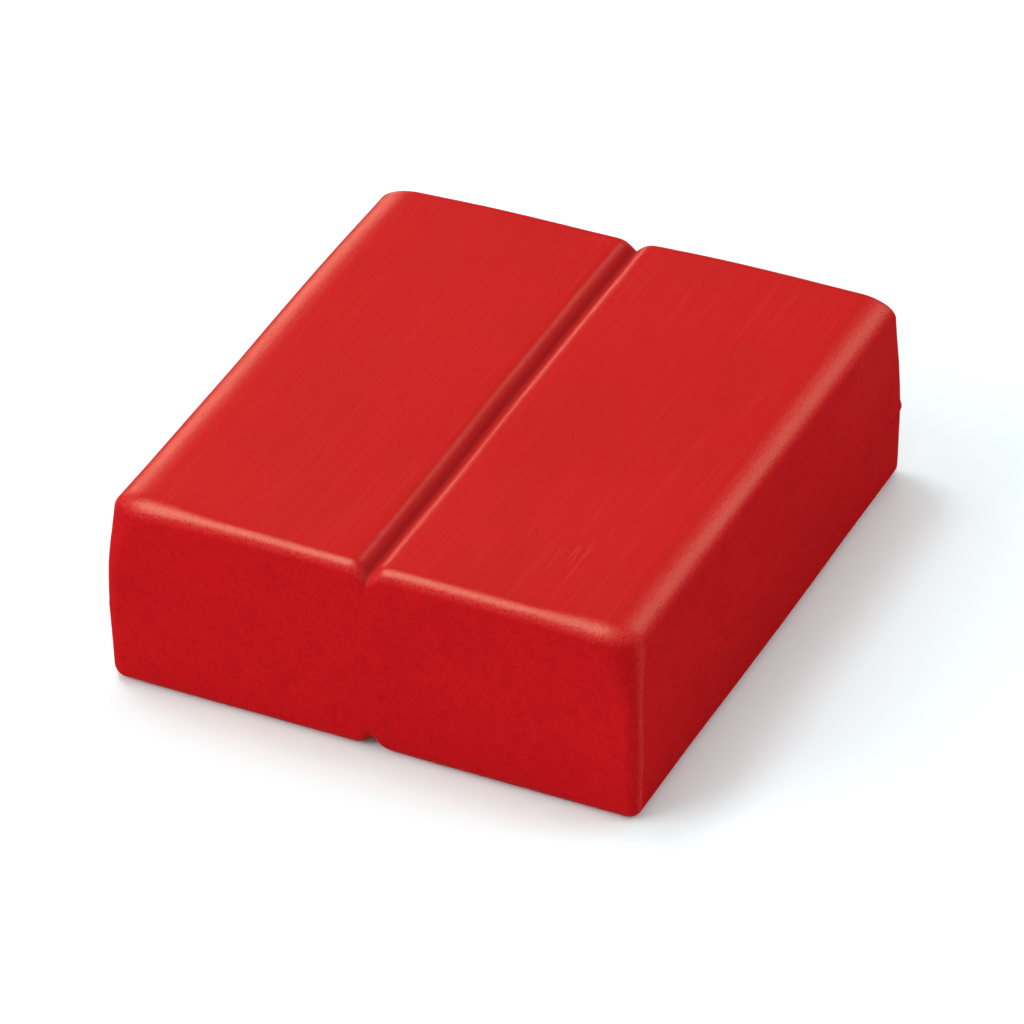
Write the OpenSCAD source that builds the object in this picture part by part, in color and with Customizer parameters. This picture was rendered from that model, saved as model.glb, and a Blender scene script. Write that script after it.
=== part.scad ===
// Low chalk block in two halves. A V-shaped groove runs across the top and another one
// runs under it, so the block snaps in two along the plane between their roots.
// Millimetres. The origin is the centre of the base: X runs across the halves,
// Y runs along the grooves and Z is up.

/* [Block] */
// Width of the whole block, across both halves
block_w = 60; // [45:1:90]
// Length of the block, along the grooves
block_l = 68; // [50:1:100]
// Height of the block
block_h = 22; // [17:0.5:33]

/* [Edges] */
// Radius of the long edges at the top, one on each half
long_edge_r = 3.2; // [1.5:0.1:4.5]
// Width of the band beside a long edge where the top slopes down to it
slope_w = 6.5; // [5:0.5:9]
// How far the top drops over that band
slope_drop = 0.8; // [0.3:0.1:1.5]
// Radius of the short edges at the top, where the grooves run out
short_edge_r = 2; // [1:0.1:3]
// Radius of the edges round the base
base_edge_r = 1.4; // [0.5:0.1:2.5]
// Radius of the upright edges
upright_edge_r = 2.4; // [1.5:0.1:4]

/* [Grooves] */
// Depth of each groove below its own face
groove_depth = 1.2; // [0.8:0.1:2.2]
// Angle between the two flanks of a groove, in degrees
groove_angle = 96; // [70:1:110]
// Radius at the root of a groove
groove_root_r = 0.3; // [0.15:0.05:0.6]
// Bevel at the mouth of a groove, measured along the face and along the flank
groove_bevel = 0.7; // [0.3:0.1:1.2]

/* [Mould] */
// Height of the line where the two halves of the mould met
mould_line_z = 8.8; // [7:0.1:11]
// Lean of the sides and ends away from the mould line, in degrees
draft = 1.2; // [0.5:0.1:2]
// How far the thin line of flash stands proud of the sides
flash_proud = 0.15; // [0.05:0.05:0.3]
// Thickness of the flash
flash_t = 0.4; // [0.2:0.1:0.8]

/* [Hidden] */
$fn = 96;

chalk_red = [0.76, 0.06, 0.07];
half_w = block_w / 2;
half_l = block_l / 2;
// How far the sides and ends lean in by the base and by the top
base_lean = mould_line_z * tan(draft);
top_lean = (block_h - mould_line_z) * tan(draft);
// The flank of a groove leans this far from upright
flank_angle = groove_angle / 2;
// Depth at which the two flanks would meet, but for the radius at the root
apex_depth = groove_depth + groove_root_r / sin(flank_angle) - groove_root_r;
// Distance from the middle of a groove to where its flank would meet the face
groove_half_w = apex_depth * tan(flank_angle);

function unit(v) = v / norm(v);
function mirrored(corner) = [-corner[0], corner[1], corner[2]];

// Half of the angle at corner b between the sides that lead to a and c.
function half_corner(a, b, c) = acos(unit(a - b) * unit(c - b)) / 2;

// Centre of the circle of radius r that touches both sides of corner b.
function corner_centre(a, b, c, r) =
    b + unit(unit(a - b) + unit(c - b)) * r / sin(half_corner(a, b, c));

// Point where the circle of radius r in corner b touches the side that leads to a.
function touch_point(a, b, c, r) = b + unit(a - b) * r / tan(half_corner(a, b, c));

// An outline with its corners rounded. Each corner is [x, y, radius]: a radius of 0
// leaves the corner sharp, and a negative one rounds a hollow corner.
module rounded_outline(corners) {
    count = len(corners);
    function at(i) = let (c = corners[(i + count) % count]) [c[0], c[1]];
    function touch(i, side) =
        corners[i][2] == 0 ? at(i) : touch_point(at(i + side), at(i), at(i - side), abs(corners[i][2]));
    module corner_arcs(sign) {
        for (i = [0 : count - 1])
            if (corners[i][2] * sign > 0)
                intersection() {
                    polygon([touch(i, -1), at(i), touch(i, 1)]);
                    translate(corner_centre(at(i - 1), at(i), at(i + 1), abs(corners[i][2])))
                        circle(abs(corners[i][2]));
                }
    }
    difference() {
        union() {
            polygon([for (i = [0 : count - 1], side = [-1, 1]) touch(i, side)]);
            corner_arcs(1);
        }
        corner_arcs(-1);
    }
}

// The whole block seen along the grooves: a bevelled groove above and below, drafted sides,
// and a top that slopes down to the long edges.
module block_section() {
    bottom_root = [0, apex_depth, -groove_root_r];
    top_root = [0, block_h - apex_depth, -groove_root_r];
    bevel_in = groove_bevel * sin(flank_angle);
    bevel_down = groove_bevel * cos(flank_angle);
    right_side = [
        [groove_half_w - bevel_in, bevel_down, 0],
        [groove_half_w + groove_bevel, 0, 0],
        [half_w - base_lean, 0, base_edge_r],
        [half_w, mould_line_z, 0],
        [half_w - top_lean, block_h - slope_drop, long_edge_r],
        [half_w - slope_w, block_h, 0],
        [groove_half_w + groove_bevel, block_h, 0],
        [groove_half_w - bevel_in, block_h - bevel_down, 0]
    ];
    left_side = [for (i = [len(right_side) - 1 : -1 : 0]) mirrored(right_side[i])];
    rounded_outline(concat([bottom_root], right_side, [top_root], left_side));
}

// The block seen from the side: both drafted ends, with rounded edges above and below.
module side_section() {
    rounded_outline([
        [half_l, mould_line_z, 0],
        [half_l - top_lean, block_h, short_edge_r],
        [top_lean - half_l, block_h, short_edge_r],
        [-half_l, mould_line_z, 0],
        [base_lean - half_l, 0, base_edge_r],
        [half_l - base_lean, 0, base_edge_r]
    ]);
}

// The right half seen from above, grown by the given amount. Its left side is the break plane.
module half_plan(grow = 0) {
    r = upright_edge_r + grow;
    rounded_outline([
        [0, -half_l - grow, 0],
        [half_w + grow, -half_l - grow, r],
        [half_w + grow, half_l + grow, r],
        [0, half_l + grow, 0]
    ]);
}

// The pressed body of the right half.
module half_body() {
    intersection() {
        rotate([90, 0, 0])
            translate([0, 0, -half_l])
                linear_extrude(block_l)
                    block_section();
        rotate([90, 0, 90])
            linear_extrude(half_w)
                side_section();
        linear_extrude(block_h)
            half_plan();
    }
}

// The thin line of flash that the mould leaves round the right half.
module half_flash() {
    translate([0, 0, mould_line_z - flash_t / 2])
        linear_extrude(flash_t)
            half_plan(flash_proud);
}

module right_half() {
    color(chalk_red) {
        half_body();
        half_flash();
    }
}

module left_half() {
    mirror([1, 0, 0])
        right_half();
}

left_half();
right_half();
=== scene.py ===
"""A low block of pressed chalk that snaps in two along its grooves.

Both halves are closed surfaces worked out from one pressed form. They ride on the bodies
of the CAD halves, which they stand for. All lengths are in metres.
"""

import logging
import math
from collections.abc import Mapping, Sequence
from dataclasses import dataclass
from enum import Enum
from typing import Any

import bpy
import numpy as np
from mathutils import Matrix, Vector


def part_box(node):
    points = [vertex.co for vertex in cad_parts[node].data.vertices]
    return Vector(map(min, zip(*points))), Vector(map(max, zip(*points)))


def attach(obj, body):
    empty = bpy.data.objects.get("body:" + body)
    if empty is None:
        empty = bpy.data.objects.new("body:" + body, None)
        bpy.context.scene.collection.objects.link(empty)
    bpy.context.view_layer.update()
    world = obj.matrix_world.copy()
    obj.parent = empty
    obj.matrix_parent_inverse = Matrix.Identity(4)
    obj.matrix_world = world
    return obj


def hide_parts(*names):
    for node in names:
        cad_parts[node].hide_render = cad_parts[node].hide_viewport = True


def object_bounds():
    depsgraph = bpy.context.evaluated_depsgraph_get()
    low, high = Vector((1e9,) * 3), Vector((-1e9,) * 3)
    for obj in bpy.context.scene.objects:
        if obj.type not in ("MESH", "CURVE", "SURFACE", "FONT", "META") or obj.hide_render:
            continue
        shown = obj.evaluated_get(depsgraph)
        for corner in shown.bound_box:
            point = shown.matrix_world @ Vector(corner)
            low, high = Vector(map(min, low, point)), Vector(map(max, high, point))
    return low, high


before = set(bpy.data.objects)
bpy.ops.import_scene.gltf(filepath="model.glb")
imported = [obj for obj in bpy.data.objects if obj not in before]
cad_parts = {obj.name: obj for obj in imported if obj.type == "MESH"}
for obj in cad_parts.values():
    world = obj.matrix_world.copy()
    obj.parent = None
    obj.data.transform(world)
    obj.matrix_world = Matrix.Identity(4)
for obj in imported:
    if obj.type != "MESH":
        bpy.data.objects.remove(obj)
CAD_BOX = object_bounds()

MM = 0.001
FLASH_PROUD = 0.15 * MM  # how far the flash of the CAD model stands out of its sides
log = logging.getLogger("chalk_block")


class Half(Enum):
    """The two halves of the block, with the side of the break plane that each lies on."""

    LEFT = -1
    RIGHT = 1

    @property
    def node(self) -> str:
        """Name of the half's CAD node, which is also its body."""
        return f"{self.name.lower()}_half"


class Role(Enum):
    """What a studio light is for, with its colour: FILL lights, GLINT only shows in gloss."""

    FILL = (1.0, 1.0, 1.0)
    GLINT = (1.0, 0.88, 0.6)


class Face(Enum):
    """The six sides of the plain box that a half is formed from: the axis and the end."""

    BREAK = (0, 0)
    SIDE = (0, -1)
    FRONT = (1, 0)
    BACK = (1, -1)
    BASE = (2, 0)
    TOP = (2, -1)


def ease(t: np.ndarray) -> np.ndarray:
    """Goes smoothly from 0 to 1 while t does, as 3 t squared less 2 t cubed."""
    t = np.clip(t, 0.0, 1.0)
    return t * t * (3.0 - 2.0 * t)


@dataclass(frozen=True)
class Ripples:
    """A smooth random field: a sum of plane waves in seeded directions.

    Each wave has a length between the shortest and the longest, and a height in
    proportion to its length, so long swells carry small ripples.
    """

    seed: int
    shortest: float
    longest: float
    height: float
    waves: int = 24

    def at(self, points: np.ndarray) -> np.ndarray:
        """Height of the field at points.

        Args:
            points: N by 3 positions.

        Returns:
            N heights whose root mean square is about 0.7 of the field's height.
        """
        rng = np.random.default_rng(self.seed)
        directions = rng.normal(size=(self.waves, 3))
        directions /= np.linalg.norm(directions, axis=1, keepdims=True)
        lengths = self.shortest * (self.longest / self.shortest) ** rng.random(self.waves)
        phases = rng.random(self.waves) * math.tau
        shares = lengths / np.linalg.norm(lengths)
        turns = points @ (directions * math.tau / lengths[:, None]).T + phases
        return self.height * (np.sin(turns) @ shares)


@dataclass(frozen=True)
class PressedForm:
    """The form of the whole block, as a map that carries a plain box onto it.

    The box is half_width each side of the break plane, half_length each way along the
    grooves, and height tall. The same map serves both halves, so their rims meet exactly.
    An edge's run is how far it reaches over the top, and its drop how far down the side.
    Each level and the mould line are shares of the height.
    """

    half_width: float
    half_length: float
    height: float
    long_edge_run: float = 4.4 * MM
    long_edge_drop: float = 1.9 * MM
    short_edge_run: float = 1.8 * MM
    short_edge_drop: float = 1.45 * MM
    corner_run: float = 3.0 * MM
    upright_edge_r: float = 1.6 * MM
    base_edge_r: float = 1.45 * MM
    slope_width: float = 8.0 * MM
    slope_drop: float = 0.1 * MM
    groove_set: float = -0.25 * MM
    groove_depth: float = 1.2 * MM
    groove_root: float = 0.1 * MM
    groove_shoulder: float = 0.38 * MM
    flank_angle: float = math.radians(43.0)
    mould_line: float = 0.40
    lean: float = math.radians(2.0)
    lean_start: float = 3.0 * MM
    shift_x: float = -0.23 * MM
    shift_y: float = 0.4 * MM
    taper: float = 0.0145
    corner_level: float = 0.6
    base_level: float = 0.3
    groove_level: float = 0.45
    flash_thickness: float = 0.42 * MM
    flash_faint: float = 0.035 * MM
    flash_corner: float = 0.14 * MM
    flash_reach: float = 7.0 * MM
    swell: Ripples = Ripples(seed=7, shortest=14 * MM, longest=60 * MM, height=0.12 * MM)

    def radii(self, box: np.ndarray) -> np.ndarray:
        """Radii, along x, y and z, of the ellipsoid that rounds the box near each point.

        They go smoothly from the base's edges through the upright ones to the top's. The
        top's drop grows from the short edges to the long ones, and the front edge's run
        grows towards the corners: both start three runs of a long edge away from the side,
        and are done one run away.

        Args:
            box: N by 3 points in or on the plain box.

        Returns:
            N by 3 radii.
        """
        level = box[:, 2] / self.height
        to_top = ease((level - self.corner_level) / (1.0 - self.corner_level))
        to_base = ease((self.base_level - level) / self.base_level)
        from_edge = self.half_width - np.abs(box[:, 0])
        outward = ease((3 * self.long_edge_run - from_edge) / (2 * self.long_edge_run))
        top_drop = self.short_edge_drop + (self.long_edge_drop - self.short_edge_drop) * outward
        near_front = np.where(box[:, 1] < 0.0, outward, 0.0)
        short_run = self.short_edge_run + (self.corner_run - self.short_edge_run) * near_front
        upright, base = self.upright_edge_r, self.base_edge_r
        return np.stack([
            upright + (self.long_edge_run - upright) * to_top + (base - upright) * to_base,
            upright + (short_run - upright) * to_top + (base - upright) * to_base,
            np.where(level > 0.5, top_drop, base),
        ], axis=1)

    def rounded(self, box: np.ndarray) -> tuple[np.ndarray, np.ndarray]:
        """Rounds the edges and corners of the box.

        A point is split into its nearest place in a core box, inset by the radii, and
        the rest, as shares of the radii. Each share becomes the tangent of an eighth of a
        turn times itself, which keeps 0 and 1 and spaces the mesh lines evenly round an
        edge. The shares are then given the length of the longest of them: the box's shell
        lies on an ellipsoid round each corner of the core.

        Args:
            box: N by 3 points in or on the plain box.

        Returns:
            The rounded points, and the shares, whose direction is about the outward one.
        """
        radii = self.radii(box)
        limit = np.array([self.half_width, self.half_length, self.height])
        low = np.array([-self.half_width, -self.half_length, 0.0])
        core = np.clip(box, low + radii, limit - radii)
        shares = np.tan((box - core) / radii * (math.pi / 4))
        longest = np.abs(shares).max(axis=1, keepdims=True)
        length = np.linalg.norm(shares, axis=1, keepdims=True)
        shares = shares * longest / np.maximum(length, 1e-12)
        return core + radii * shares, shares

    def groove(self, across: np.ndarray) -> np.ndarray:
        """Depth of a groove at a distance across it.

        The flanks are straight lines, and the root is a hyperbola between them. The
        logarithm of 1 plus an exponential brings the depth softly down to nothing.

        Args:
            across: Distances from the break plane.

        Returns:
            How far the groove cuts in at each.
        """
        steep = 1.0 / math.tan(self.flank_angle)
        root, soft = self.groove_root, self.groove_shoulder
        wedge = self.groove_depth - (np.hypot(across, root) - root) * steep
        return soft * np.logaddexp(0.0, wedge / soft)

    def flash(self, points: np.ndarray) -> np.ndarray:
        """How far the line of flash stands proud.

        It is a bell curve up the side, about the mould line, and another bell curve makes
        it strongest at the right back corner.

        Args:
            points: N by 3 points of the rounded block.

        Returns:
            N heights.
        """
        away = np.hypot(points[:, 0] - self.half_width, points[:, 1] - self.half_length)
        rise = self.flash_faint + self.flash_corner * np.exp(-(away / self.flash_reach) ** 2)
        off_line = points[:, 2] - self.mould_line * self.height
        return rise * np.exp(-(off_line / self.flash_thickness) ** 2)

    def pressed(self, box: np.ndarray) -> tuple[np.ndarray, np.ndarray]:
        """Carries points of the plain box onto the block.

        The rounded box slopes down by a square law beside its long edges at the top, is cut
        by the grooves, leans in above and below the mould line, and is longer on the right
        than on the left. Its top is moved back and to the left, and the groove in it most
        of all. The swell and the flash then push it outwards.

        Args:
            box: N by 3 points in or on the plain box.

        Returns:
            The points of the block, and the direction that each faces, which is nothing
            deep inside and has length 1 on the skin.
        """
        points, facing = self.rounded(box)
        x, y, z = points.T
        level = z / self.height
        towards_side = np.abs(x) / self.half_width
        slope = np.clip((np.abs(x) - self.half_width + self.slope_width) / self.slope_width, 0.0, 1.0)
        off_line = np.hypot(z - self.mould_line * self.height, self.lean_start) - self.lean_start
        lean = math.tan(self.lean) * off_line
        cut = self.groove(np.abs(x))
        swell = self.swell.at(points)
        flash = self.flash(points) * np.linalg.norm(facing[:, :2], axis=1) ** 4
        z = z - level**2 * self.slope_drop * slope**2
        near_top = ease((level - self.groove_level) / self.groove_level)
        near_base = ease((1.0 - self.groove_level - level) / self.groove_level)
        z = z + (near_base - near_top) * cut
        narrowed = x * (1 - lean / self.half_width)
        shortened = y * (1 - lean / self.half_length + self.taper * x / self.half_width)
        aside = self.shift_x + self.groove_set * (1 - towards_side) ** 2
        moved = np.stack([
            narrowed + level * aside + towards_side * facing[:, 0] * (swell + flash),
            shortened + level * self.shift_y + facing[:, 1] * (swell + flash),
            z + level * facing[:, 2] * swell,
        ], axis=1)
        return moved, facing


@dataclass(frozen=True)
class Stations:
    """Where the lines of a half's mesh lie: close together where the form bends.

    A reach is the length of a stretch, which the mould line has on each side of it, and a
    step is the distance between the lines in a stretch.
    """

    form: PressedForm
    groove_reach: float = 2.6 * MM
    groove_step: float = 0.09 * MM
    top_step: float = 0.55 * MM
    shoulder_step: float = 0.3 * MM
    side_step: float = 0.17 * MM
    end_step: float = 0.2 * MM
    length_step: float = 0.45 * MM
    base_reach: float = 2.4 * MM
    base_step: float = 0.2 * MM
    wall_step: float = 0.42 * MM
    mould_reach: float = 0.8 * MM
    mould_step: float = 0.11 * MM
    upper_reach: float = 5 * MM
    upper_step: float = 0.19 * MM

    @staticmethod
    def spread(*stretches: tuple[float, float, float]) -> np.ndarray:
        """Places along a line.

        Args:
            stretches: Start, end and step of each stretch, one after another.

        Returns:
            The places in rising order, both ends included.
        """
        places = [
            np.linspace(start, end, max(1, round((end - start) / step)), endpoint=False)
            for start, end, step in stretches
        ]
        return np.append(np.concatenate(places), stretches[-1][1])

    def across(self, half: Half) -> np.ndarray:
        """Places between the break plane and the side: close in the groove and at the edge.

        Args:
            half: Which half they are for.

        Returns:
            The places along x, in rising order.
        """
        width, edge = self.form.half_width, 1.2 * self.form.long_edge_run
        outward = self.spread(
            (0.0, self.groove_reach, self.groove_step),
            (self.groove_reach, width - 2 * edge, self.top_step),
            (width - 2 * edge, width - edge, self.shoulder_step),
            (width - edge, width, self.side_step),
        )
        return outward if half is Half.RIGHT else -outward[::-1]

    def along(self) -> np.ndarray:
        """Places from the front end to the back one, close at both.

        Returns:
            The places along y, in rising order.
        """
        length, edge = self.form.half_length, 2.0 * self.form.short_edge_run
        ends = self.spread((length - edge, length, self.end_step))
        middle = self.spread((edge - length, length - edge, self.length_step))[1:-1]
        return np.concatenate([-ends[::-1], middle, ends])

    def upward(self) -> np.ndarray:
        """Places from the base to the top, close at their edges and at the mould line.

        Returns:
            The places along z, in rising order.
        """
        height, line = self.form.height, self.form.mould_line * self.form.height
        return self.spread(
            (0.0, self.base_reach, self.base_step),
            (self.base_reach, line - self.mould_reach, self.wall_step),
            (line - self.mould_reach, line + self.mould_reach, self.mould_step),
            (line + self.mould_reach, height - self.upper_reach, self.wall_step),
            (height - self.upper_reach, height, self.upper_step),
        )


@dataclass(frozen=True)
class BreakFace:
    """The rough face that shows when the halves are apart. Both halves share its relief.

    Its rim stays on the break plane, and its relief is full where facing, which has length
    1 on the skin, has fallen by fade.
    """

    lumps: Ripples = Ripples(seed=21, shortest=2.5 * MM, longest=14 * MM, height=0.55 * MM)
    crumbs: Ripples = Ripples(seed=22, shortest=0.9 * MM, longest=2.5 * MM, height=0.16 * MM, waves=40)
    fade: float = 0.8

    def relief(self, points: np.ndarray, facing: np.ndarray) -> np.ndarray:
        """Height of the face off the break plane: lumps and crumbs.

        The crumbs all go the same way, so they stand out of the left half and leave their
        prints in the right one.

        Args:
            points: N by 3 points of the face.
            facing: N by 3 directions, from PressedForm.pressed.

        Returns:
            N heights along x.
        """
        inward = ease((1.0 - np.linalg.norm(facing, axis=1)) / self.fade)
        return inward * (self.lumps.at(points) + np.abs(self.crumbs.at(points)))


@dataclass
class HalfBlock:
    """One half of the block, as a closed mesh with a smooth skin and a rough break face."""

    half: Half
    form: PressedForm
    break_face: BreakFace
    # Turn and width, in degrees, of the painted highlight line down each upright edge.
    painted_glint_turn: float = 20.0
    painted_glint_width: float = 11.0

    def face_grid(self, face: Face, stations: Sequence[np.ndarray]) -> tuple[np.ndarray, np.ndarray]:
        """Lattice points of one side of the plain box, and the quads between them.

        Args:
            face: Which side, BREAK being the one at the break plane for either half.
            stations: Places of the mesh lines along x, y and z.

        Returns:
            The points, and four point numbers a quad, wound to face outwards.
        """
        axis, end = face.value
        if axis == 0 and self.half is Half.LEFT:
            end = -1 - end
        u, v = (axis + 1) % 3, (axis + 2) % 3
        grid_u, grid_v = np.meshgrid(stations[u], stations[v], indexing="ij")
        points = np.empty((grid_u.size, 3))
        points[:, axis] = stations[axis][end]
        points[:, u], points[:, v] = grid_u.ravel(), grid_v.ravel()
        numbers = np.arange(grid_u.size).reshape(grid_u.shape)
        corners = [numbers[:-1, :-1], numbers[1:, :-1], numbers[1:, 1:], numbers[:-1, 1:]]
        quads = np.stack([c.ravel() for c in corners], axis=1)
        return points, quads if end == -1 else quads[:, ::-1]

    def build(self) -> bpy.types.Object:
        """Makes the half's mesh in place.

        The six sides of the plain box are joined where they share lattice points, and
        every point is then carried onto the pressed form.

        Returns:
            The new object, with its finish still to come.
        """
        places = Stations(self.form)
        stations = (places.across(self.half), places.along(), places.upward())
        grids = [self.face_grid(face, stations) for face in Face]
        offsets = np.cumsum([0] + [len(points) for points, _ in grids])
        lattice, shared = np.unique(
            np.concatenate([points for points, _ in grids]), axis=0, return_inverse=True
        )
        quads = np.concatenate([shared.ravel()[q + offset] for (_, q), offset in zip(grids, offsets)])
        is_break = np.repeat([face is Face.BREAK for face in Face], [len(q) for _, q in grids])
        points, facing = self.form.pressed(lattice)
        sunk = ease(self.form.groove(np.abs(lattice[:, 0])) / self.form.groove_depth)
        sunk *= np.abs(facing[:, 2])
        on_plane = lattice[:, 0] == 0.0
        points[:, 0] += np.where(on_plane, self.break_face.relief(points, facing), 0.0)
        return self.mesh(points, quads, facing, sunk, is_break)

    def wear_and_glint(self, facing: np.ndarray) -> np.ndarray:
        """How rubbed the skin is, with a painted highlight.

        It is rubbed on the edges of the top and base. A thin painted highlight line runs down each
        upright edge, where the skin faces a set turn, in degrees, from the side.

        Args:
            facing: Outward direction at each vertex.

        Returns:
            Shares from 0 to 1.
        """
        across, along, up = np.abs(facing).T
        level = np.hypot(across, along)
        turn = np.degrees(np.arctan2(along, across)) - self.painted_glint_turn
        # Painted highlight: a thin pale line down each upright edge.
        upright = np.exp(-(turn / self.painted_glint_width) ** 2) * ease(2.0 * (level - up))
        return np.maximum(ease((np.minimum(level, up) - 0.18) / 0.5), upright)

    def mesh(
        self,
        points: np.ndarray,
        quads: np.ndarray,
        facing: np.ndarray,
        sunk: np.ndarray,
        is_break: np.ndarray,
    ) -> bpy.types.Object:
        """Puts the worked-out surface into a Blender mesh.

        Args:
            points: Where the vertices lie.
            quads: Four vertex numbers a face.
            facing: Outward direction at each vertex.
            sunk: How deep each vertex lies in a groove, from 0 to 1.
            is_break: Whether each face belongs to the break face.

        Returns:
            The new object. Its rim is sharp, and its vertices hold how worn they are, with the
            painted highlight line of the upright edges, how deep in a groove they lie and which way they
            face.
        """
        name = f"chalk_{self.half.node}"
        mesh = bpy.data.meshes.new(name)
        mesh.from_pydata(points, [], quads)
        mesh.polygons.foreach_set("use_smooth", np.ones(len(quads), bool))
        mesh.polygons.foreach_set("material_index", is_break.astype(np.int32))
        in_break, in_skin = np.zeros(len(points), bool), np.zeros(len(points), bool)
        in_break[quads[is_break]] = True
        in_skin[quads[~is_break]] = True
        rim = in_break & in_skin
        ends = np.empty(len(mesh.edges) * 2, np.int32)
        mesh.edges.foreach_get("vertices", ends)
        sharp = mesh.attributes.new("sharp_edge", "BOOLEAN", "EDGE")
        sharp.data.foreach_set("value", rim[ends.reshape(-1, 2)].all(axis=1))
        wear_and_glint = mesh.attributes.new("wear_and_glint", "FLOAT", "POINT")
        wear_and_glint.data.foreach_set("value", self.wear_and_glint(facing).astype(np.float32))
        groove = mesh.attributes.new("sunk", "FLOAT", "POINT")
        groove.data.foreach_set("value", sunk.astype(np.float32))
        outward = mesh.attributes.new("facing", "FLOAT_VECTOR", "POINT")
        outward.data.foreach_set("vector", facing.astype(np.float32).ravel())
        mesh.validate()
        piece = bpy.data.objects.new(name, mesh)
        bpy.context.scene.collection.objects.link(piece)
        return piece

    def dress(self, piece: bpy.types.Object, skin: bpy.types.Material, fresh: bpy.types.Material) -> None:
        """Gives the half its two finishes and ties it to its CAD node and body.

        Args:
            piece: The object that build made.
            skin: Material of the pressed skin.
            fresh: Material of the break face.
        """
        piece.data.materials.append(skin)
        piece.data.materials.append(fresh)
        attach(piece, self.half.node)
        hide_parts(self.half.node)


class Signal:
    """A shader socket that can be used in Python sums: each operator adds a Math node."""

    def __init__(self, bench: "ShaderBench", socket: bpy.types.NodeSocket) -> None:
        """Wraps a socket of the bench's material."""
        self.bench = bench
        self.socket = socket

    def math(self, operation: str, *values: Any) -> "Signal":
        """Result of a Math node on the given values."""
        return self.bench.node("ShaderNodeMath", {"operation": operation}, dict(enumerate(values)))

    def __add__(self, other: Any) -> "Signal":
        """Sum."""
        return self.math("ADD", self, other)

    def __radd__(self, other: Any) -> "Signal":
        """Sum with a number on the left."""
        return self.math("ADD", other, self)

    def __sub__(self, other: Any) -> "Signal":
        """Difference."""
        return self.math("SUBTRACT", self, other)

    def __rsub__(self, other: Any) -> "Signal":
        """Difference from a number."""
        return self.math("SUBTRACT", other, self)

    def __mul__(self, other: Any) -> "Signal":
        """Product."""
        return self.math("MULTIPLY", self, other)

    def __rmul__(self, other: Any) -> "Signal":
        """Product with a number on the left."""
        return self.math("MULTIPLY", other, self)

    def eased(self, low: float, high: float) -> "Signal":
        """0 up to low, 1 from high on and smooth between; with low above high it falls."""
        return self.bench.node(
            "ShaderNodeMapRange",
            {"interpolation_type": "SMOOTHSTEP"},
            {"Value": self, "From Min": low, "From Max": high},
        )


class ShaderBench:
    """A new material's node tree, and the ways that finishes add to it."""

    GLOSS: float = 0.01

    def __init__(self, name: str) -> None:
        """Starts a material with one Principled shader.

        Args:
            name: Name of the material.
        """
        self.material = bpy.data.materials.new(name)
        self.material.use_nodes = True
        self.tree = self.material.node_tree
        self.shader = self.tree.nodes["Principled BSDF"]

    def node(
        self,
        kind: str,
        settings: Mapping[str, Any],
        sockets: Mapping[Any, Any],
        output: int | str = 0,
    ) -> Signal:
        """Adds one node.

        Args:
            kind: The node's type.
            settings: Its own settings, which are made first.
            sockets: Its inputs by name or number, each a value or a Signal.
            output: Which output is wanted.

        Returns:
            That output.
        """
        made = self.tree.nodes.new(kind)
        for setting, value in settings.items():
            setattr(made, setting, value)
        for socket, value in sockets.items():
            self.feed(made.inputs[socket], value)
        return Signal(self, made.outputs[output])

    def feed(self, socket: bpy.types.NodeSocket, value: Any) -> None:
        """Gives a socket what it shows.

        Args:
            socket: The socket.
            value: A Signal, which is linked to it, or a plain value, which it is set to.
        """
        if isinstance(value, Signal):
            self.tree.links.new(value.socket, socket)
        else:
            socket.default_value = value

    def place(self) -> Signal:
        """Object coordinates, in metres."""
        return self.node("ShaderNodeTexCoord", {}, {}, "Object")

    def attribute(self, name: str, output: str) -> Signal:
        """A value that the mesh holds at its vertices."""
        return self.node("ShaderNodeAttribute", {"attribute_name": name}, {}, output)

    def stretched(self, place: Signal, grain: tuple[float, float, float]) -> Signal:
        """Coordinates in which a pattern's grain has the given size along x, y and z."""
        return self.node(
            "ShaderNodeMapping", {}, {"Vector": place, "Scale": [1.0 / size for size in grain]}
        )

    def noise(self, place: Signal, grain: tuple[float, float, float], detail: float = 2.0) -> Signal:
        """Cloudy noise about 0.5, with grains of the given size."""
        return self.node(
            "ShaderNodeTexNoise",
            {},
            {"Vector": self.stretched(place, grain), "Scale": 1.0, "Detail": detail},
            "Fac",
        )

    def specks(self, place: Signal, cell: float, radius: float, share: float) -> Signal:
        """Round specks in some cells of a random lattice.

        Args:
            place: Coordinates in metres.
            cell: Size of a cell, which holds at most one speck.
            radius: Radius of a speck.
            share: Share of the cells that hold one, some of them faint.

        Returns:
            1 at the middle of a full speck, less in a faint one and 0 outside.
        """
        sockets = {"Vector": self.stretched(place, (cell,) * 3), "Scale": 1.0}
        away = self.node("ShaderNodeTexVoronoi", {}, sockets, "Distance")
        tint = self.node("ShaderNodeTexVoronoi", {}, sockets, "Color")
        pick = self.node("ShaderNodeSeparateColor", {}, {"Color": tint}, "Red")
        return away.eased(radius / cell, 0.0) * pick.eased(1.0 - share, 1.0 - 0.6 * share)

    def blend(self, factor: Any, first: Any, second: Any) -> Signal:
        """The first colour where the factor is 0, the second where it is 1, mixed between."""
        return self.node(
            "ShaderNodeMix", {"data_type": "RGBA"}, {0: factor, 6: first, 7: second}, 2
        )

    def finish(self, colour: Any, roughness: Any, height: Signal) -> bpy.types.Material:
        """Feeds the shader.

        Args:
            colour: Base colour.
            roughness: Roughness.
            height: Height of the relief in metres, which becomes bump.

        Returns:
            The finished material.
        """
        bump = self.node("ShaderNodeBump", {}, {"Distance": 1.0, "Strength": 1.0, "Height": height})
        self.shader.inputs["Specular IOR Level"].default_value = self.GLOSS
        self.feed(self.shader.inputs["Base Color"], colour)
        self.feed(self.shader.inputs["Roughness"], roughness)
        self.feed(self.shader.inputs["Normal"], bump)
        return self.material


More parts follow.
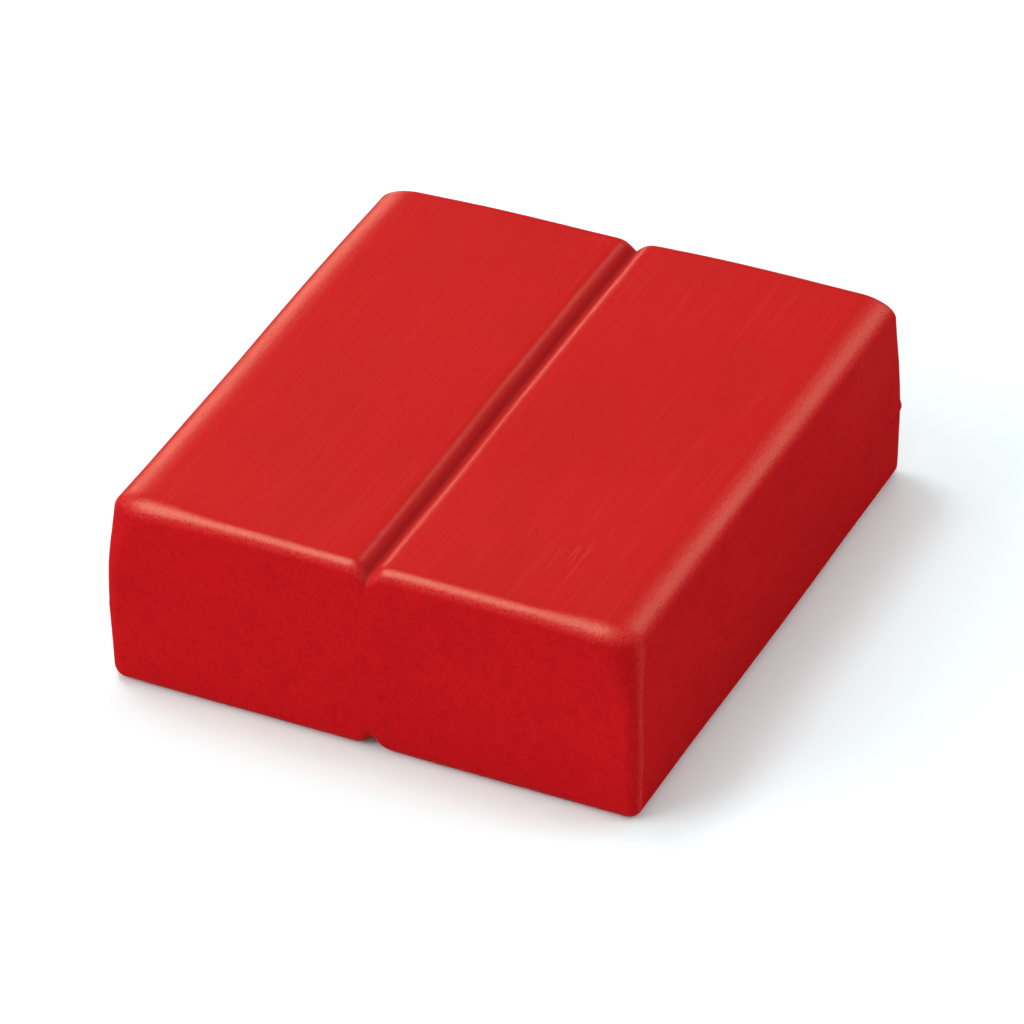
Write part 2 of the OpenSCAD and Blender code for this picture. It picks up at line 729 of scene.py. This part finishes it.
@dataclass(frozen=True)
class Patch:
    """Where a soft oval mark lies.

    The centre is in shares of the half width, the half length and the height, and the
    reach is how far the mark goes along x, y and z.
    """

    centre: tuple[float, float, float]
    reach: tuple[float, float, float]


@dataclass(frozen=True)
class ChalkSkin:
    """The pressed skin: waxy and smooth, with fine grain, drawn streaks, pits and scuffs, painted shade
    in the grooves and painted highlights.

    A grain is the size of a pattern along x, y and z, and a relief its height in the bump.
    """

    form: PressedForm
    colour: tuple[float, float, float, float] = (0.455, 0.0065, 0.0088, 1.0)
    # Colour of the rubbing and specks, and of the painted highlight and sheen.
    rubbed_and_glint: tuple[float, float, float, float] = (0.55, 0.04, 0.035, 1.0)
    deep: tuple[float, float, float, float] = (0.33, 0.003, 0.006, 1.0)
    # Colour of the painted shade in the grooves.
    painted_groove_shade: tuple[float, float, float, float] = (0.22, 0.003, 0.006, 1.0)
    roughness: float = 0.33
    groove_roughness: float = 0.5
    cloud_grain: tuple[float, float, float] = (9 * MM, 14 * MM, 9 * MM)
    fine_grain: tuple[float, float, float] = (0.22 * MM, 0.22 * MM, 0.22 * MM)
    mottle_grain: tuple[float, float, float] = (1.6 * MM, 2.4 * MM, 1.6 * MM)
    tooth_grain: tuple[float, float, float] = (0.4 * MM, 0.4 * MM, 0.4 * MM)
    streak_grain: tuple[float, float, float] = (0.45 * MM, 18 * MM, 0.45 * MM)
    scratch_grain: tuple[float, float, float] = (0.3 * MM, 5 * MM, 3 * MM)
    grain_relief: float = 0.02 * MM
    streak_relief: float = 0.01 * MM
    scratch_relief: float = 0.012 * MM
    speck_relief: float = 0.03 * MM
    scuff: Patch = Patch((0.60, -0.66, 1.0), (7 * MM, 9 * MM, 3 * MM))
    speckle: Patch = Patch((0.48, 0.76, 1.0), (5 * MM, 6 * MM, 3 * MM))
    # A painted sheen high on the far end of the right side.
    painted_sheen: Patch = Patch((1.0, 0.78, 0.80), (4 * MM, 15 * MM, 8 * MM))
    pitted: Patch = Patch((0.80, -1.0, 0.55), (15 * MM, 4 * MM, 13 * MM))

    def mark(self, bench: ShaderBench, place: Signal, patch: Patch) -> Signal:
        """How strongly a patch shows.

        The distance from its centre, as a share of its reach, is eased from 1 to 0.

        Args:
            bench: The material's bench.
            place: Coordinates in metres.
            patch: The patch.

        Returns:
            1 at the patch's centre and 0 past its reach.
        """
        size = (self.form.half_width, self.form.half_length, self.form.height)
        centre = [share * length for share, length in zip(patch.centre, size)]
        off = bench.node("ShaderNodeVectorMath", {"operation": "SUBTRACT"}, {0: place, 1: centre})
        shares = bench.node("ShaderNodeVectorMath", {"operation": "DIVIDE"}, {0: off, 1: patch.reach})
        away = bench.node("ShaderNodeVectorMath", {"operation": "LENGTH"}, {0: shares}, "Value")
        return away.eased(1.0, 0.0)

    def material(self) -> bpy.types.Material:
        """Builds the skin's material.

        Returns:
            The material.
        """
        bench = ShaderBench("chalk_skin")
        place = bench.place()
        facing = bench.attribute("facing", "Vector")
        wear_and_glint = bench.attribute("wear_and_glint", "Fac")
        sunk = bench.attribute("sunk", "Fac")
        upward = bench.node("ShaderNodeSeparateXYZ", {}, {"Vector": facing}, "Z").eased(0.5, 0.95)
        cloud = bench.noise(place, self.cloud_grain)
        grain = bench.noise(place, self.fine_grain, detail=3.0)
        mottle = bench.noise(place, self.mottle_grain, detail=3.0)
        tooth = bench.noise(place, self.tooth_grain, detail=1.0)
        streaks = bench.noise(place, self.streak_grain)
        scratches = bench.noise(place, self.scratch_grain, detail=1.0)
        scuff = self.mark(bench, place, self.scuff)
        speckle = self.mark(bench, place, self.speckle)
        painted_sheen = self.mark(bench, place, self.painted_sheen)
        pitted = self.mark(bench, place, self.pitted)
        pits = bench.specks(place, cell=1.0 * MM, radius=0.13 * MM, share=0.25)
        flecks = bench.specks(place, cell=0.9 * MM, radius=0.16 * MM, share=0.6) * speckle
        dust = bench.specks(place, cell=2.6 * MM, radius=0.13 * MM, share=0.12)
        # Drawn and scraped marks show on the top only, and pits everywhere else.
        dents = pits * (1.0 - upward) * (0.4 + pitted)
        drawn = streaks.eased(0.5, 0.72) * upward
        scraped = scratches.eased(0.55, 0.75) * scuff * upward
        # The pale marks add up. The rubbing of the edges carries a painted highlight line down each
        # upright edge, and a painted sheen lies high on the far end of the right side. They lie over the
        # dark grain, and the dents and the painted shade of the grooves lie over them.
        pale = drawn * 0.12 + scraped * 0.35 + wear_and_glint * grain.eased(0.3, 0.6) * 0.6
        pale = pale + flecks * 0.7 + dust * 0.5 + painted_sheen * grain.eased(0.45, 0.65) * 0.3
        colour = bench.blend(cloud.eased(0.35, 0.75) * 0.2, self.colour, self.deep)
        colour = bench.blend(mottle.eased(0.45, 0.7) * (1.0 - upward) * 0.25, colour, self.deep)
        colour = bench.blend(tooth.eased(0.45, 0.65) * (1.0 - upward * 0.6) * 0.35, colour, self.deep)
        colour = bench.blend(pale, colour, self.rubbed_and_glint)
        colour = bench.blend(dents * 0.8, colour, self.deep)
        # Painted shade: the grooves are darkened by how deep they lie.
        colour = bench.blend(sunk * 0.5, colour, self.painted_groove_shade)
        roughness = self.roughness + (cloud - 0.5) * 0.12 + (grain - 0.5) * 0.2
        roughness = roughness + sunk * self.groove_roughness
        height = (grain + tooth + mottle) * self.grain_relief + streaks * upward * self.streak_relief
        height = height - scraped * self.scratch_relief + (flecks - dents) * self.speck_relief
        return bench.finish(colour, roughness, height)


@dataclass(frozen=True)
class FreshBreak:
    """The break face: dry, granular and a little lighter than the skin."""

    colour: tuple[float, float, float, float] = (0.46, 0.012, 0.014, 1.0)
    pale: tuple[float, float, float, float] = (0.56, 0.05, 0.04, 1.0)
    roughness: float = 0.85
    crumb_grain: tuple[float, float, float] = (0.5 * MM, 0.5 * MM, 0.5 * MM)
    dust_grain: tuple[float, float, float] = (0.16 * MM, 0.16 * MM, 0.16 * MM)
    crumb_relief: float = 0.14 * MM
    dust_relief: float = 0.05 * MM

    def material(self) -> bpy.types.Material:
        """Builds the break face's material.

        Returns:
            The material.
        """
        bench = ShaderBench("chalk_fresh_break")
        place = bench.place()
        crumbs = bench.noise(place, self.crumb_grain, detail=4.0)
        dust = bench.noise(place, self.dust_grain, detail=3.0)
        colour = bench.blend(crumbs.eased(0.4, 0.7) * 0.6, self.colour, self.pale)
        roughness = self.roughness + (dust - 0.5) * 0.1
        return bench.finish(colour, roughness, crumbs * self.crumb_relief + dust * self.dust_relief)


@dataclass(frozen=True)
class SoftBox:
    """A square studio light that faces the block, at degrees round and above it."""

    name: str
    role: Role
    azimuth: float
    elevation: float
    distance: float
    size: float
    watts: float


@dataclass(frozen=True)
class Studio:
    """The pale floor, the soft lights and the camera.

    The camera's azimuth, elevation and roll are in degrees, and its aim is how far to the
    right of the centre and above it, as the camera sees them, it points.
    """

    centre: Vector
    azimuth: float = 25.2
    elevation: float = 34.83
    roll: float = -0.68
    distance: float = 881 * MM
    lens: float = 298.9
    aim: tuple[float, float] = (0.26 * MM, -2.44 * MM)
    ambience: float = 0.61
    floor_size: float = 4.0
    floor_colour: tuple[float, float, float, float] = (0.855, 0.96, 0.97, 1.0)

    @staticmethod
    def outward(azimuth: float, elevation: float) -> Vector:
        turn, rise = math.radians(azimuth), math.radians(elevation)
        return Vector((math.sin(turn) * math.cos(rise), -math.cos(turn) * math.cos(rise), math.sin(rise)))

    def camera(self) -> None:
        """Adds the camera, looking at the block from its azimuth and elevation."""
        back = self.outward(self.azimuth, self.elevation)
        right = Vector((0, 0, 1)).cross(back).normalized()
        up = back.cross(right)
        tilt = math.radians(self.roll)
        right, up = (
            math.cos(tilt) * right + math.sin(tilt) * up,
            math.cos(tilt) * up - math.sin(tilt) * right,
        )
        data = bpy.data.cameras.new("camera")
        data.lens = self.lens
        data.clip_start, data.clip_end = self.distance / 50, self.distance * 50
        camera = bpy.data.objects.new("camera", data)
        turned = Matrix((right, up, back)).transposed().to_4x4()
        where = self.centre + self.aim[0] * right + self.aim[1] * up + back * self.distance
        camera.matrix_world = Matrix.Translation(where) @ turned
        bpy.context.scene.collection.objects.link(camera)
        bpy.context.scene.camera = camera

    def light(self, box: SoftBox) -> None:
        """Adds one square light that faces the block.

        Args:
            box: The light's place, size, power and role.
        """
        data = bpy.data.lights.new(box.name, "AREA")
        data.size = box.size
        data.energy = box.watts
        data.color = box.role.value
        lamp = bpy.data.objects.new(box.name, data)
        back = self.outward(box.azimuth, box.elevation)
        lamp.location = self.centre + back * box.distance
        lamp.rotation_euler = back.to_track_quat("Z", "Y").to_euler()
        lamp.visible_glossy = box.role is Role.GLINT
        lamp.visible_diffuse = box.role is Role.FILL
        bpy.context.scene.collection.objects.link(lamp)

    def world(self) -> None:
        """Fills in with even white light from all round, which no gloss reflects."""
        world = bpy.data.worlds.new("studio")
        world.use_nodes = True
        world.node_tree.nodes["Background"].inputs["Color"].default_value = (1.0, 1.0, 1.0, 1.0)
        world.node_tree.nodes["Background"].inputs["Strength"].default_value = self.ambience
        world.cycles_visibility.glossy = False
        bpy.context.scene.world = world

    def floor(self) -> None:
        """Lays the plain pale floor that the block stands on, which no gloss reflects."""
        bench = ShaderBench("studio_floor")
        bench.shader.inputs["Base Color"].default_value = self.floor_colour
        bench.shader.inputs["Roughness"].default_value = 0.9
        bench.shader.inputs["Specular IOR Level"].default_value = 0.0
        mesh = bpy.data.meshes.new("floor")
        reach = self.floor_size / 2
        corners = [(-reach, -reach, 0), (reach, -reach, 0), (reach, reach, 0), (-reach, reach, 0)]
        mesh.from_pydata(corners, [], [(0, 1, 2, 3)])
        mesh.materials.append(bench.material)
        floor = bpy.data.objects.new("floor", mesh)
        floor.visible_glossy = False
        bpy.context.scene.collection.objects.link(floor)


SOFT_BOXES = (
    SoftBox("key", Role.FILL, azimuth=-112, elevation=69, distance=1.0, size=0.25, watts=2.7),
    SoftBox("back", Role.FILL, azimuth=190, elevation=68, distance=1.0, size=0.3, watts=1.1),
    SoftBox("front_fill", Role.FILL, azimuth=-50, elevation=28, distance=1.0, size=0.8, watts=6.7),
    SoftBox("right_fill", Role.FILL, azimuth=128, elevation=28, distance=1.0, size=0.8, watts=2.6),
    SoftBox("key_glint", Role.GLINT, azimuth=-75, elevation=66, distance=0.6, size=0.36, watts=105.0),
    SoftBox("wash_glint", Role.GLINT, azimuth=205, elevation=33, distance=1.2, size=0.5, watts=2.6),
    SoftBox("left_glint", Role.GLINT, azimuth=221, elevation=10, distance=1.2, size=0.3, watts=7.0),
    SoftBox("right_glint", Role.GLINT, azimuth=162, elevation=38, distance=1.2, size=0.4, watts=36.0),
)


def main() -> None:
    """Builds the halves, dresses them and sets up the studio."""
    logging.basicConfig(level=logging.INFO, format="%(name)s: %(message)s")
    low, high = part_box(Half.RIGHT.node)
    form = PressedForm(
        half_width=high.x - FLASH_PROUD, half_length=high.y - FLASH_PROUD, height=high.z - low.z
    )
    skin, fresh = ChalkSkin(form).material(), FreshBreak().material()
    for half in Half:
        block = HalfBlock(half, form, BreakFace())
        piece = block.build()
        block.dress(piece, skin, fresh)
        log.info("%s has %d faces", piece.name, len(piece.data.polygons))
    studio = Studio(centre=(CAD_BOX[0] + CAD_BOX[1]) / 2)
    studio.floor()
    studio.world()
    for box in SOFT_BOXES:
        studio.light(box)
    studio.camera()
    bpy.context.scene.view_settings.view_transform = "Standard"


if __name__ == "__main__":
    main()
